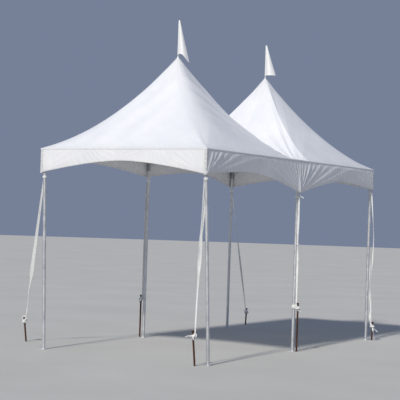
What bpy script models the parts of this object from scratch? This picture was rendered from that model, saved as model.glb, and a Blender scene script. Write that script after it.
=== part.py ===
"""Twin-peak marquee tent on a bolted tube frame, as an assembly of named pieces.

Metres, +Z up. The origin is on the ground under the front middle leg, +X along the front and +Y
towards the back. Six legs carry a frame of eave tubes; in each square bay four cables carry a short
mast that pushes the canopy up to a peak, and a pennant flies above it. The pieces are drawn about
the middle of the footprint, and an empty there carries them all.
"""

import math

import bmesh
import bpy
import numpy as np
from mathutils import Matrix, Vector

# Overall sizes
BAY = 2.44
EAVE_HEIGHT = 2.598
PEAK_RISE = 1.27
VALLEY_RISE = 0.10
SEAT = 0.0003

# Frame tubes and the sockets that they fit
TUBE_RADIUS = 0.021
TUBE_WALL = 0.0025
TUBE_SIDES = 12
SOCKET_CLEARANCE = 0.0005
SOCKET_WALL = 0.0035
SOCKET_REACH = 0.14
SOCKET_STOP = 0.03
SOCKET_BACK = 0.015
LUG_REACH = 0.065
LUG_HEIGHT = 0.03
LUG_THICKNESS = 0.006

# Feet
FOOT_SIZE = 0.09
FOOT_THICKNESS = 0.006

# Masts, cables and flag poles
MAST_RADIUS = 0.019
MAST_SIDES = 24
MAST_WALL = 0.0025
HUB_RADIUS = 0.04
HUB_HEIGHT = 0.03
CABLE_RADIUS = 0.004
CABLE_SIDES = 8
CABLE_DROP = 0.07
CROWN_RADIUS = 0.06
CROWN_NECK_RADIUS = 0.022
CROWN_SKIRT = 0.012
CROWN_GAP = 0.001
CANOPY_HOLE_RADIUS = 0.03
FLAG_POLE_RADIUS = 0.008
FLAG_POLE_HEIGHT = 0.52

# Fabric
CANOPY_THICKNESS = 0.004
VALANCE_THICKNESS = 0.003
VALANCE_CLEARANCE = 0.008
CORNER_DROP = 0.315
END_DROP = 0.155
FRONT_DROP = 0.24
FRONT_MIDDLE_DROP = 0.445
BACK_DROP = 0.135
BACK_MIDDLE_DROP = 0.26
ARCH_POWER = 1.6
SIDE_ARCH_SHIFT = 0.44
SADDLE_HALF_WIDTH = 0.24
SADDLE_NECK = 0.012
PENNANT_GAP = 0.015
PENNANT_WIDTH = 0.21
PENNANT_CURL = math.radians(150)
PENNANT_HEADING = math.radians(-58.7)
PENNANT_SAG = {"left": 0.11, "right": 0.0}
PENNANT_THICKNESS = 0.003
PENNANT_SLEEVE_WALL = 0.002

# Guy straps and stakes
STRAP_WIDTH = 0.045
STRAP_THICKNESS = 0.003
STRAP_STEPS = 12
STRAP_LOOP_DROP = 0.03
STAKE_RADIUS = 0.0125
STAKE_SIDES = 12
STAKE_HEAD_RADIUS = 0.02
STAKE_HEAD_HEIGHT = 0.014
KNOT_RADIUS = 0.03
KNOT_HEIGHT = 0.06
KNOT_DROP = 0.065
KNOT_BORE = STAKE_RADIUS + 0.001

# What follows from the sizes above
SOCKET_BORE = TUBE_RADIUS + SOCKET_CLEARANCE
SOCKET_RADIUS = SOCKET_BORE + SOCKET_WALL
FRAME_HEIGHT = EAVE_HEIGHT - CANOPY_THICKNESS - SEAT - SOCKET_RADIUS
PEAK_HEIGHT = EAVE_HEIGHT + PEAK_RISE
HALF_WIDTH = BAY / 2
OVERHANG = SOCKET_RADIUS + VALANCE_CLEARANCE + VALANCE_THICKNESS
HALF_DEPTH_OUTSIDE = HALF_WIDTH + OVERHANG
END_OUTSIDE = BAY + OVERHANG
VALANCE_TOP = EAVE_HEIGHT - CANOPY_THICKNESS - SEAT
HUB_TOP = FRAME_HEIGHT - CABLE_DROP

# Each leg: its place on the plan, and the directions in which eave tubes leave it
LEGS = {
    "front_left": (-BAY, -HALF_WIDTH, ("+X", "+Y")),
    "front_middle": (0.0, -HALF_WIDTH, ("-X", "+X", "+Y")),
    "front_right": (BAY, -HALF_WIDTH, ("-X", "+Y")),
    "back_left": (-BAY, HALF_WIDTH, ("+X", "-Y")),
    "back_middle": (0.0, HALF_WIDTH, ("-X", "+X", "-Y")),
    "back_right": (BAY, HALF_WIDTH, ("-X", "-Y")),
}
DIRECTIONS = {
    "+X": Vector((1, 0, 0)),
    "-X": Vector((-1, 0, 0)),
    "+Y": Vector((0, 1, 0)),
    "-Y": Vector((0, -1, 0)),
}
# The two legs of the left end stand out of plumb: how far the foot is from under the leg's top
FOOT_SHIFT = {"front_left": (0.09, -0.075), "back_left": (0.05, -0.055)}
MIDDLE_TIP_DROP = {"front_middle": FRONT_MIDDLE_DROP, "back_middle": BACK_MIDDLE_DROP}
PEAKS = {"left": -HALF_WIDTH, "right": HALF_WIDTH}

# Each stake: its place from its leg's foot, its height, and how far its top leans from its base
STAKES = {
    "front_left": ((-0.16, 0.09), 0.42, (-0.02, 0.03)),
    "front_middle": ((0.0, -0.062), 0.66, (0.0, 0.0)),
    "front_right": ((0.02, -0.09), 0.28, (0.0, -0.01)),
    "back_left": ((0.60, 0.78), 0.33, (-0.02, 0.03)),
    "back_middle": ((0.0, 0.062), 0.62, (0.0, 0.0)),
    "back_right": ((0.88, 0.15), 0.28, (0.02, 0.0)),
}

ALUMINIUM = ("mill_aluminium", (0.62, 0.63, 0.64, 1), 0.35, 1.0)
GALVANISED = ("galvanised_steel", (0.50, 0.52, 0.53, 1), 0.5, 1.0)
VINYL = ("white_vinyl", (0.90, 0.91, 0.93, 1), 0.5, 0.0)
WEBBING = ("white_webbing", (0.85, 0.85, 0.82, 1), 0.8, 0.0)
RUSTY_STEEL = ("rusty_steel", (0.16, 0.10, 0.07, 1), 0.85, 0.6)


def clear_scene():
    for thing in list(bpy.data.objects):
        bpy.data.objects.remove(thing)


def material(look):
    name, colour, roughness, metallic = look
    made = bpy.data.materials.get(name)
    if made is None:
        made = bpy.data.materials.new(name)
        made.use_nodes = True
        shader = made.node_tree.nodes["Principled BSDF"]
        shader.inputs["Base Color"].default_value = colour
        shader.inputs["Roughness"].default_value = roughness
        shader.inputs["Metallic"].default_value = metallic
    return made


def new_piece(name, mesh, look, smooth=False):
    """Puts a mesh into the scene under its own name, with its finish."""
    piece = bpy.data.objects.new(name, mesh)
    bpy.context.scene.collection.objects.link(piece)
    mesh.materials.clear()
    mesh.materials.append(material(look))
    if smooth:
        mesh.shade_smooth()
        mesh.set_sharp_from_angle(angle=math.radians(40))
    return piece


def mesh_from(name, points, faces):
    """A mesh with its faces turned outwards."""
    mesh = bpy.data.meshes.new(name)
    mesh.from_pydata([tuple(p) for p in points], [], [tuple(f) for f in faces])
    shape = bmesh.new()
    shape.from_mesh(mesh)
    bmesh.ops.recalc_face_normals(shape, faces=shape.faces)
    shape.to_mesh(mesh)
    shape.free()
    return mesh


def rod(name, start, end, radius, sides, inner=0.0):
    """A round bar from start to end, or a tube if inner is over 0."""
    start, end = Vector(start), Vector(end)
    turn = (end - start).to_track_quat("Z", "Y").to_matrix()
    rings = []
    for r in (radius, inner) if inner else (radius,):
        for place in (start, end):
            angles = [2 * math.pi * i / sides for i in range(sides)]
            ring = [place + turn @ Vector((r * math.cos(a), r * math.sin(a), 0)) for a in angles]
            rings.append(ring)
    points = [p for ring in rings for p in ring]
    faces = []
    for i in range(sides):
        j = (i + 1) % sides
        faces.append((i, j, sides + j, sides + i))
        if inner:
            faces.append((2 * sides + i, 3 * sides + i, 3 * sides + j, 2 * sides + j))
            faces.append((i, 2 * sides + i, 2 * sides + j, j))
            faces.append((sides + i, sides + j, 3 * sides + j, 3 * sides + i))
    if not inner:
        faces.append(tuple(range(sides)))
        faces.append(tuple(range(sides, 2 * sides)))
    return mesh_from(name, points, faces)


def block(name, size, centre, turn=0.0):
    """A box of that size, turned about +Z."""
    shape = bmesh.new()
    bmesh.ops.create_cube(shape, size=1)
    bmesh.ops.scale(shape, vec=size, verts=shape.verts)
    bmesh.ops.rotate(shape, cent=(0, 0, 0), matrix=Matrix.Rotation(turn, 3, "Z"), verts=shape.verts)
    bmesh.ops.translate(shape, vec=centre, verts=shape.verts)
    mesh = bpy.data.meshes.new(name)
    shape.to_mesh(mesh)
    shape.free()
    return mesh


def turned(name, profile, centre, sides):
    """A solid turned about +Z from a list of (radius, height), the first and last on the axis."""
    points, rings = [], []
    for radius, height in profile:
        count = 1 if radius == 0 else sides
        ring = []
        for i in range(count):
            angle = 2 * math.pi * i / sides
            ring.append(len(points))
            spot = (radius * math.cos(angle), radius * math.sin(angle), height)
            points.append(Vector(centre) + Vector(spot))
        rings.append(ring)
    faces = []
    for low, high in zip(rings, rings[1:]):
        for i in range(sides):
            j = (i + 1) % sides
            corners = (low[i % len(low)], low[j % len(low)], high[j % len(high)], high[i % len(high)])
            faces.append(tuple(dict.fromkeys(corners)))
    return mesh_from(name, points, faces)


def combine(name, base, others, operation, look, smooth=True):
    """One solid from a base mesh and others joined to it or cut from it, applied at once."""
    piece = new_piece(name, base, look)
    for i, other in enumerate(others):
        tool = new_piece(f"{name}_tool_{i}", other, look)
        change = piece.modifiers.new(operation.lower(), "BOOLEAN")
        change.operation = operation
        change.object = tool
        change.solver = "EXACT"
        graph = bpy.context.evaluated_depsgraph_get()
        result = bpy.data.meshes.new_from_object(piece.evaluated_get(graph))
        piece.modifiers.clear()
        piece.data = result
        bpy.data.objects.remove(tool)
    if smooth:
        piece.data.shade_smooth()
        piece.data.set_sharp_from_angle(angle=math.radians(40))
    return piece


def thick_sheet(points, faces, drop):
    """A closed solid from an open sheet: the sheet, its copy lowered by drop, and the rims."""
    count = len(points)
    below = [(x, y, z - drop) for x, y, z in points]
    edges = {}
    for face in faces:
        for a, b in zip(face, face[1:] + face[:1]):
            key = (min(a, b), max(a, b))
            edges[key] = None if key in edges else (a, b)
    solid = list(faces) + [tuple(i + count for i in reversed(face)) for face in faces]
    solid += [(b, a, a + count, b + count) for a, b in filter(None, edges.values())]
    return list(points) + below, solid


# Frame


def leg_top(leg):
    return Vector((*LEGS[leg][:2], FRAME_HEIGHT))


def leg_foot(leg):
    """Where a leg's axis meets the middle of its foot plate."""
    shift = FOOT_SHIFT.get(leg, (0, 0))
    return Vector((LEGS[leg][0] + shift[0], LEGS[leg][1] + shift[1], FOOT_THICKNESS / 2))


def leg_way(leg):
    """Unit direction down a leg."""
    return (leg_foot(leg) - leg_top(leg)).normalized()


def leg_point(leg, height):
    """A point on a leg's axis at that height."""
    top, foot = leg_top(leg), leg_foot(leg)
    return top.lerp(foot, (top.z - height) / (top.z - foot.z))


def build_leg(leg):
    """An upright tube welded on a square foot plate."""
    foot = leg_foot(leg)
    plate = block(leg, (FOOT_SIZE, FOOT_SIZE, FOOT_THICKNESS), foot)
    top = leg_top(leg) + leg_way(leg) * (SOCKET_STOP + SEAT)
    tube = rod("tube", foot, top, TUBE_RADIUS, TUBE_SIDES, TUBE_RADIUS - TUBE_WALL)
    return combine("leg_" + leg, plate, [tube], "UNION", ALUMINIUM)


def inward_diagonals(x, y):
    """Unit directions on the plan from a leg towards the mast of each bay that it stands in."""
    found = []
    for centre in PEAKS.values():
        if abs(abs(centre - x) - HALF_WIDTH) < BAY / 10:
            found.append(Vector((centre - x, -y, 0)).normalized())
    return found


def build_fitting(leg):
    """Sockets for the leg and the eave tubes, with a lug for each cable."""
    x, y, directions = LEGS[leg]
    node = leg_top(leg)
    arms = [DIRECTIONS[d] for d in directions] + [leg_way(leg)]
    solid = []
    for a in arms:
        if -a in arms and a.x < 0:
            continue
        back = SOCKET_REACH if -a in arms else SOCKET_BACK
        start, end = node - a * back, node + a * SOCKET_REACH
        solid.append(rod("arm", start, end, SOCKET_RADIUS, TUBE_SIDES))
    for way in inward_diagonals(x, y):
        centre = node + way * (LUG_REACH / 2)
        size = (LUG_REACH, LUG_THICKNESS, LUG_HEIGHT)
        solid.append(block("lug", size, centre, math.atan2(way.y, way.x)))
    piece = combine("fitting_" + leg, solid[0], solid[1:], "UNION", GALVANISED)
    bores = []
    for a in arms:
        start, end = node + a * SOCKET_STOP, node + a * (SOCKET_REACH + SOCKET_STOP)
        bores.append(rod("bore", start, end, SOCKET_BORE, TUBE_SIDES))
    mesh = piece.data
    bpy.data.objects.remove(piece)
    return combine("fitting_" + leg, mesh, bores, "DIFFERENCE", GALVANISED)


def build_eave_tube(name, start_leg, end_leg):
    """A tube from one fitting's socket to the next."""
    start, end = leg_top(start_leg), leg_top(end_leg)
    way = (end - start).normalized() * (SOCKET_STOP + SEAT)
    mesh = rod(name, start + way, end - way, TUBE_RADIUS, TUBE_SIDES, TUBE_RADIUS - TUBE_WALL)
    return new_piece(name, mesh, ALUMINIUM, smooth=True)


# Masts and cables


def mast_profile():
    """Radius and height round a mast: up its bore, down to the hub, then up to the flag pole's tip.

    The crown's upper face keeps a small gap under the canopy's slope.
    """
    slope = canopy_slope_at_peak()
    under = PEAK_HEIGHT - CANOPY_THICKNESS - CROWN_GAP
    skirt_top = under - slope * (CROWN_RADIUS - CANOPY_HOLE_RADIUS)
    skirt_foot = skirt_top - CROWN_SKIRT
    neck_top = PEAK_HEIGHT + CROWN_NECK_RADIUS
    bore = MAST_RADIUS - MAST_WALL
    return [
        (0, skirt_foot),
        (bore, skirt_foot),
        (bore, HUB_TOP - HUB_HEIGHT),
        (HUB_RADIUS, HUB_TOP - HUB_HEIGHT),
        (HUB_RADIUS, HUB_TOP),
        (MAST_RADIUS, HUB_TOP),
        (MAST_RADIUS, skirt_foot),
        (CROWN_RADIUS, skirt_foot),
        (CROWN_RADIUS, skirt_top),
        (CROWN_NECK_RADIUS, under + slope * (CANOPY_HOLE_RADIUS - CROWN_NECK_RADIUS)),
        (CROWN_NECK_RADIUS, neck_top),
        (FLAG_POLE_RADIUS, neck_top + CROWN_NECK_RADIUS),
        (FLAG_POLE_RADIUS, PEAK_HEIGHT + FLAG_POLE_HEIGHT),
        (0, PEAK_HEIGHT + FLAG_POLE_HEIGHT),
    ]


def build_mast(name, centre):
    """A hub for four cables, an upright tube open below, and on it the crown with its flag pole."""
    mesh = turned(name, mast_profile(), (centre, 0, 0), MAST_SIDES)
    return new_piece("mast_" + name, mesh, ALUMINIUM, smooth=True)


def build_cable(leg, way, centre, name):
    """A taut wire rope from a fitting's lug to the hub under a mast."""
    start = leg_top(leg) + way * (LUG_REACH + SEAT + CABLE_RADIUS * CABLE_DROP)
    hub_face = HUB_RADIUS + SEAT + CABLE_RADIUS * CABLE_DROP
    end = Vector((centre, 0, HUB_TOP - HUB_HEIGHT / 2)) - way * hub_face
    return new_piece(name, rod(name, start, end, CABLE_RADIUS, CABLE_SIDES), GALVANISED, smooth=True)


# Canopy


def saddle_half_width(y):
    """Half the width of the web between the two peaks, widest at the eaves."""
    share = min(1.0, abs(y) / HALF_DEPTH_OUTSIDE)
    return SADDLE_NECK + (SADDLE_HALF_WIDTH - SADDLE_NECK) * share**1.5


def valley_height(y):
    share = min(1.0, abs(y) / HALF_DEPTH_OUTSIDE)
    return EAVE_HEIGHT + VALLEY_RISE * (1 - share**2)


def rise_share(s, straight):
    """Height above the edge as a share of the rise: straight*(1-s) + (1-straight)*(1-s)^2."""
    return straight * (1 - s) + (1 - straight) * (1 - s) ** 2


def canopy_slope_at_peak():
    """Steepest fall of the canopy at a crown, towards the web between the peaks."""
    return PEAK_RISE * 2 / (HALF_WIDTH - CANOPY_HOLE_RADIUS - SADDLE_NECK)


def bay_outline(steps):
    """Points round the edge of the right bay: (x, y, z, straight share), from the front middle leg."""
    low, high = -HALF_DEPTH_OUTSIDE, HALF_DEPTH_OUTSIDE
    inner, outer = SADDLE_HALF_WIDTH, END_OUTSIDE
    corners = [(inner, low), (outer, low), (outer, high), (inner, high)]
    edge = []
    for (x0, y0), (x1, y1) in zip(corners, corners[1:]):
        for i in range(steps):
            t = i / steps
            edge.append((x0 + (x1 - x0) * t, y0 + (y1 - y0) * t, EAVE_HEIGHT, 0.5))
    for i in range(steps):
        y = high + (low - high) * i / steps
        edge.append((saddle_half_width(y), y, valley_height(y), 0.5 * abs(y) / high))
    return edge


def bay_grid(edge, rings):
    """Rings of points from the hole at the crown out to the edge of the right bay."""
    points = []
    for k in range(rings + 1):
        s = (k / rings) ** 1.2
        for x, y, z, straight in edge:
            angle = math.atan2(y, x - HALF_WIDTH)
            hole_x = HALF_WIDTH + CANOPY_HOLE_RADIUS * math.cos(angle)
            hole_y = CANOPY_HOLE_RADIUS * math.sin(angle)
            height = z + (PEAK_HEIGHT - z) * rise_share(s, straight)
            points.append((hole_x + (x - hole_x) * s, hole_y + (y - hole_y) * s, height))
    return points


def build_canopy(steps=12, rings=9):
    """The roof over both bays: two rings of panels joined by a saddle web, made 4 mm thick."""
    edge = bay_outline(steps)
    count = len(edge)
    right = bay_grid(edge, rings)
    points = right + [(-x, y, z) for x, y, z in right]
    faces = []
    for k in range(rings):
        for i in range(count):
            j = (i + 1) % count
            a, b = k * count + i, k * count + j
            quad = (a, b, b + count, a + count)
            faces.append(quad)
            faces.append(tuple(q + len(right) for q in reversed(quad)))
    inner = [rings * count + (3 * steps + i) % count for i in range(steps + 1)]
    for a, b in zip(inner, inner[1:]):
        faces.append((a, b, b + len(right), a + len(right)))
    solid_points, solid_faces = thick_sheet(points, faces, CANOPY_THICKNESS)
    return new_piece("canopy_top", mesh_from("canopy_top", solid_points, solid_faces), VINYL)


def arch_drop(t, start_drop, low_drop, end_drop, turning):
    """How far the valance hangs at share t of a bay: powers of the distance from the arch's top."""
    if t < turning:
        return low_drop + (start_drop - low_drop) * ((turning - t) / turning) ** ARCH_POWER
    return low_drop + (end_drop - low_drop) * ((t - turning) / (1 - turning)) ** ARCH_POWER


def front_drop(x):
    """Hem depth along the front, with a deep tip at the middle leg."""
    t = 1 - min(1.0, abs(x) / END_OUTSIDE)
    return arch_drop(t, CORNER_DROP, FRONT_DROP, FRONT_MIDDLE_DROP, SIDE_ARCH_SHIFT)


def back_drop(x):
    t = 1 - min(1.0, abs(x) / END_OUTSIDE)
    return arch_drop(t, CORNER_DROP, BACK_DROP, BACK_MIDDLE_DROP, SIDE_ARCH_SHIFT)


def end_drop(y):
    t = (y + HALF_DEPTH_OUTSIDE) / (2 * HALF_DEPTH_OUTSIDE)
    return arch_drop(t, CORNER_DROP, END_DROP, CORNER_DROP, 0.5)


def build_valance(name, half_length, drop_at, place, steps):
    """A hanging strip of fabric whose hem rises in an arch between the legs."""
    along = [half_length * (2 * i / steps - 1) for i in range(steps + 1)]
    points = []
    for depth in (0.0, VALANCE_THICKNESS):
        for s in along:
            points.append(place(s, depth, VALANCE_TOP))
            points.append(place(s, depth, EAVE_HEIGHT - drop_at(s)))
    row = 2 * (steps + 1)
    faces = [(0, 1, row + 1, row), (row - 2, row - 1, 2 * row - 1, 2 * row - 2)]
    for i in range(0, 2 * steps, 2):
        faces.append((i, i + 2, i + 3, i + 1))
        faces.append((row + i, row + i + 1, row + i + 3, row + i + 2))
        faces.append((i, row + i, row + i + 2, i + 2))
        faces.append((i + 1, i + 3, row + i + 3, row + i + 1))
    return new_piece(name, mesh_from(name, points, faces), VINYL)


def build_valances():
    for name, side, drop_at in (("front", -1, front_drop), ("back", 1, back_drop)):
        build_valance(
            "valance_" + name,
            END_OUTSIDE,
            drop_at,
            lambda s, d, z, side=side: (s, side * (HALF_DEPTH_OUTSIDE - d), z),
            48,
        )
    for name, side in (("left", -1), ("right", 1)):
        build_valance(
            "valance_" + name,
            HALF_DEPTH_OUTSIDE - VALANCE_THICKNESS - SEAT,
            end_drop,
            lambda s, d, z, side=side: (side * (END_OUTSIDE - d), s, z),
            24,
        )


def build_pennant(name, centre):
    """A stiff vinyl triangle on a sleeve round the flag pole, rolled into part of a cone.

    Its free edge lies at PENNANT_HEADING on the plan, and its free corner hangs lower by PENNANT_SAG.
    """
    across = Vector((math.cos(PENNANT_HEADING), math.sin(PENNANT_HEADING)))
    bulge = Vector((across.y, -across.x))
    top = PEAK_HEIGHT + FLAG_POLE_HEIGHT - PENNANT_SLEEVE_WALL
    bottom = PEAK_HEIGHT + 2 * CROWN_NECK_RADIUS + PENNANT_GAP
    bore = FLAG_POLE_RADIUS + SEAT
    outside = bore + PENNANT_SLEEVE_WALL
    sleeve = rod(name, (centre, 0, bottom), (centre, 0, top), outside, MAST_SIDES, bore)
    rows, columns = 8, 8
    outer, inner = [], []
    for i in range(rows + 1):
        share = i / rows
        length = 0.012 + (PENNANT_WIDTH - 0.012) * share
        radius = length / PENNANT_CURL
        for j in range(columns + 1):
            angle = PENNANT_CURL * j / columns
            fall = max(0.0, (j / columns - 0.35) / 0.65)
            low = bottom + 0.004 - PENNANT_SAG[name] * fall**2 * (3 - 2 * fall)
            height = (top - 0.004) * (1 - share) + low * share
            start = bore + PENNANT_SLEEVE_WALL / 2
            for ring, r in ((outer, radius), (inner, radius - PENNANT_THICKNESS / 2)):
                plan = bulge * (start + r * math.sin(angle)) + across * (radius - r * math.cos(angle))
                ring.append((centre + plan.x, plan.y, height))
    points = outer + inner
    count, wide = len(outer), columns + 1
    faces = []
    for i in range(rows):
        for j in range(columns):
            a = i * wide + j
            faces.append((a, a + 1, a + wide + 1, a + wide))
            faces.append(tuple(count + q for q in (a, a + wide, a + wide + 1, a + 1)))
    for j in range(columns):
        for start in (j, rows * wide + j):
            faces.append((start, start + 1, start + 1 + count, start + count))
    for i in range(rows):
        for start in (i * wide, i * wide + columns):
            faces.append((start, start + wide, start + wide + count, start + count))
    sheet = mesh_from("sheet", points, faces)
    return combine("pennant_" + name, sleeve, [sheet], "UNION", VINYL)


# Guys


def stake_place(leg):
    """The middle of a stake's base and of its head."""
    (dx, dy), height, lean = STAKES[leg]
    base = leg_foot(leg) + Vector((dx, dy, 0))
    return Vector((base.x, base.y, 0)), Vector((base.x + lean[0], base.y + lean[1], height))


def build_stake(leg):
    """A driven steel bar with a spread head, from the ground up, its base level with the ground."""
    base, head = stake_place(leg)
    neck = head.z - STAKE_HEAD_HEIGHT
    profile = [
        (0, 0),
        (STAKE_RADIUS, 0),
        (STAKE_RADIUS, neck - STAKE_HEAD_HEIGHT / 2),
        (STAKE_HEAD_RADIUS, neck),
        (STAKE_HEAD_RADIUS, neck + STAKE_HEAD_HEIGHT / 2),
        (0, head.z),
    ]
    mesh = turned(leg, profile, (0, 0, 0), STAKE_SIDES)
    lean = (head - base) / head.z
    for corner in mesh.vertices:
        corner.co = base + Vector((corner.co.x, corner.co.y, 0)) + lean * corner.co.z
    return new_piece("stake_" + leg, mesh, RUSTY_STEEL, smooth=True)


def strap_strip(start, end, twist):
    """A flat band from start to end that turns by twist on the way."""
    way = (end - start).normalized()
    side = way.cross(Vector((0, 0, 1)))
    side = side.normalized() if side.length > 0.001 else Vector((1, 0, 0))
    points = []
    for i in range(STRAP_STEPS + 1):
        t = i / STRAP_STEPS
        turn = Matrix.Rotation(twist * t, 3, way)
        wide = turn @ side * (STRAP_WIDTH / 2)
        deep = wide.cross(way).normalized() * (STRAP_THICKNESS / 2)
        place = start.lerp(end, t)
        points += [place + wide + deep, place + wide - deep, place - wide - deep, place - wide + deep]
    last = 4 * STRAP_STEPS
    faces = [(0, 1, 2, 3), (last, last + 1, last + 2, last + 3)]
    for i in range(0, last, 4):
        for j in range(4):
            k = (j + 1) % 4
            faces.append((i + j, i + k, i + 4 + k, i + 4 + j))
    return mesh_from("strip", points, faces)


def build_strap(leg):
    """A webbing strap looped round the leg under the valance and knotted round its stake.

    It makes a quarter turn on the way, but lies flat to the leg where the stake stands beside the leg.
    """
    loop_top = EAVE_HEIGHT - MIDDLE_TIP_DROP.get(leg, CORNER_DROP) - STRAP_LOOP_DROP
    inside = TUBE_RADIUS + SEAT
    outside = inside + STRAP_THICKNESS
    loop_ends = leg_point(leg, loop_top - STRAP_WIDTH), leg_point(leg, loop_top)
    loop = rod(leg, *loop_ends, outside, TUBE_SIDES, inside)
    base, head = stake_place(leg)
    lean = (head - base) / head.z
    knot_centre = base + lean * (head.z - KNOT_DROP)
    loop_centre = (loop_ends[0] + loop_ends[1]) / 2
    out = (knot_centre - leg_point(leg, knot_centre.z)).normalized()
    start = loop_centre + out * outside
    twist = 0 if leg in MIDDLE_TIP_DROP else math.pi / 2
    short = STAKE_HEAD_RADIUS + STRAP_THICKNESS + (STRAP_WIDTH / 2 if twist else 0)
    strip = strap_strip(start, knot_centre - out * short, twist)
    half_knot = lean * (KNOT_HEIGHT / 2)
    knot_ends = knot_centre - half_knot, knot_centre + half_knot
    knot = rod("knot", *knot_ends, KNOT_RADIUS, TUBE_SIDES, KNOT_BORE)
    return combine("strap_" + leg, loop, [strip, knot], "UNION", WEBBING)


def build_frame():
    for leg in LEGS:
        build_leg(leg)
        build_fitting(leg)
    for side in ("front", "back"):
        build_eave_tube(f"eave_tube_{side}_left", f"{side}_left", f"{side}_middle")
        build_eave_tube(f"eave_tube_{side}_right", f"{side}_middle", f"{side}_right")
    for end in ("left", "middle", "right"):
        name = "cross_tube" if end == "middle" else f"eave_tube_{end}_end"
        build_eave_tube(name, f"front_{end}", f"back_{end}")


def build_peaks():
    for name, centre in PEAKS.items():
        build_mast(name, centre)
        build_pennant(name, centre)
        for leg, (x, y, _) in LEGS.items():
            if abs(abs(centre - x) - HALF_WIDTH) < BAY / 10:
                way = Vector((centre - x, -y, 0)).normalized()
                build_cable(leg, way, centre, f"cable_{name}_to_{leg}")


def carry_all():
    """Parents every piece to an empty at the middle of the footprint, half a bay behind the front."""
    pieces = list(bpy.data.objects)
    footprint = bpy.data.objects.new("footprint_middle", None)
    footprint.location = (0, HALF_WIDTH, 0)
    bpy.context.scene.collection.objects.link(footprint)
    for piece in pieces:
        piece.parent = footprint


def main():
    clear_scene()
    build_frame()
    build_peaks()
    build_canopy()
    build_valances()
    for leg in LEGS:
        build_stake(leg)
        build_strap(leg)
    carry_all()


main()
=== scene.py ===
"""Looks of a twin-peak marquee tent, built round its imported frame.

Metres, +Z up. The origin is on the ground under the front middle leg, +X along the front and +Y
towards the back. Every shape is a surface of two parameters on a grid, or a profile carried along a
path, worked out as whole arrays.
"""

import functools
import math

import bmesh
import bpy
import numpy as np
from mathutils import Matrix, Vector
from numpy import array, asarray, broadcast_to, clip, concatenate, cos, cross, exp, full, gradient, interp
from numpy import linspace, maximum, minimum, sin, stack, where
from numpy.linalg import norm


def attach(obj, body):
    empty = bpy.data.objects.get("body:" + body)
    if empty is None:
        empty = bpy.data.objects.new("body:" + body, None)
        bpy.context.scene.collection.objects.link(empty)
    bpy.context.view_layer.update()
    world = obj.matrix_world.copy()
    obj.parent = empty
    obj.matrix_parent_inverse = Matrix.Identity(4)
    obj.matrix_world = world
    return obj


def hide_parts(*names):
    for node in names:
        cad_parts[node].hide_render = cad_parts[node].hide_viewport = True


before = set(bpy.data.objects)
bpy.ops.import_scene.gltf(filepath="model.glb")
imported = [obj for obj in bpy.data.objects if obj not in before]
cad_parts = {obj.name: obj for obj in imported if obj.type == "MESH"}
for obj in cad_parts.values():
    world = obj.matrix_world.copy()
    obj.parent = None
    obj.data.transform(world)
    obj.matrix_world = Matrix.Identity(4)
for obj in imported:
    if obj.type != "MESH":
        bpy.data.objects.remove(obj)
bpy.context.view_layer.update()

# Sizes shared with the solids
BAY = 2.44
HALF_BAY = BAY / 2
EAVE_HEIGHT = 2.598
PEAK_HEIGHT = 3.868
VALLEY_RISE = 0.10
OVERHANG = 0.036
FRAME_HEIGHT = 2.5687
VALANCE_TOP = 2.5937
HALF_DEPTH = HALF_BAY + OVERHANG
END_X = BAY + OVERHANG
HOLE_RADIUS = 0.03
WEB_HALF_WIDTH = 0.24
WEB_NECK = 0.012
CORNER_DROP = 0.315
END_DROP = 0.155
FRONT_DROP = 0.24
FRONT_TIP_DROP = 0.445
BACK_DROP = 0.135
BACK_TIP_DROP = 0.26
ARCH_POWER = 1.6
ARCH_TURN = 0.44
TUBE_RADIUS = 0.021
SOCKET_RADIUS = 0.025
SOCKET_REACH = 0.14
SOCKET_STOP = 0.03
FOOT_SIZE = 0.09
FOOT_THICKNESS = 0.006
MAST_RADIUS = 0.019
HUB_RADIUS = 0.04
HUB_HEIGHT = 0.03
HUB_TOP = FRAME_HEIGHT - 0.07
CROWN_RADIUS = 0.06
CROWN_NECK = 0.022
POLE_RADIUS = 0.008
POLE_TOP = PEAK_HEIGHT + 0.52
CABLE_RADIUS = 0.004
LUG_REACH = 0.065
STRAP_WIDTH = 0.045
STAKE_RADIUS = 0.0125
STAKE_HEAD_RADIUS = 0.02
STAKE_HEAD_HEIGHT = 0.014
KNOT_DROP = 0.065
LOOP_DROP = 0.03
PENNANT_WIDTH = 0.21
PENNANT_CURL = math.radians(150)
PENNANT_HEADING = math.radians(-58.7)
PENNANT_SAG = {"left": 0.11, "right": 0.0}

# Sizes that only the looks have
CLOTH_HALF = 0.0006
VALANCE_INSET = 0.0016
HEM_WIDTH = 0.025
HEM_HALF = 0.0017
TAPE_HALF_WIDTH = 0.011
COLLAR_HEIGHT = 0.007
BOLT_RADIUS = 0.0065
BOLT_HEIGHT = 0.0055
FERRULE_HEIGHT = 3.9125
ROPE_LAY = 0.06
FLOOR_RADIUS = 90

# The photograph's viewpoint, with its focal length in pixels of a picture 400 wide
CAMERA_PLACE = (-15.288, -7.773, 1.722)
CAMERA_AHEAD = (0.85371, 0.52048, 0.01690)
CAMERA_RIGHT = (0.5206, -0.8538, 0)
CAMERA_ROLL = 0.0338
FOCAL_PIXELS = 1256.7
PICTURE_WIDTH = 400
SENSOR_WIDTH = 36

X, Y, UP = np.eye(3)
TURN = 2 * math.pi
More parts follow.
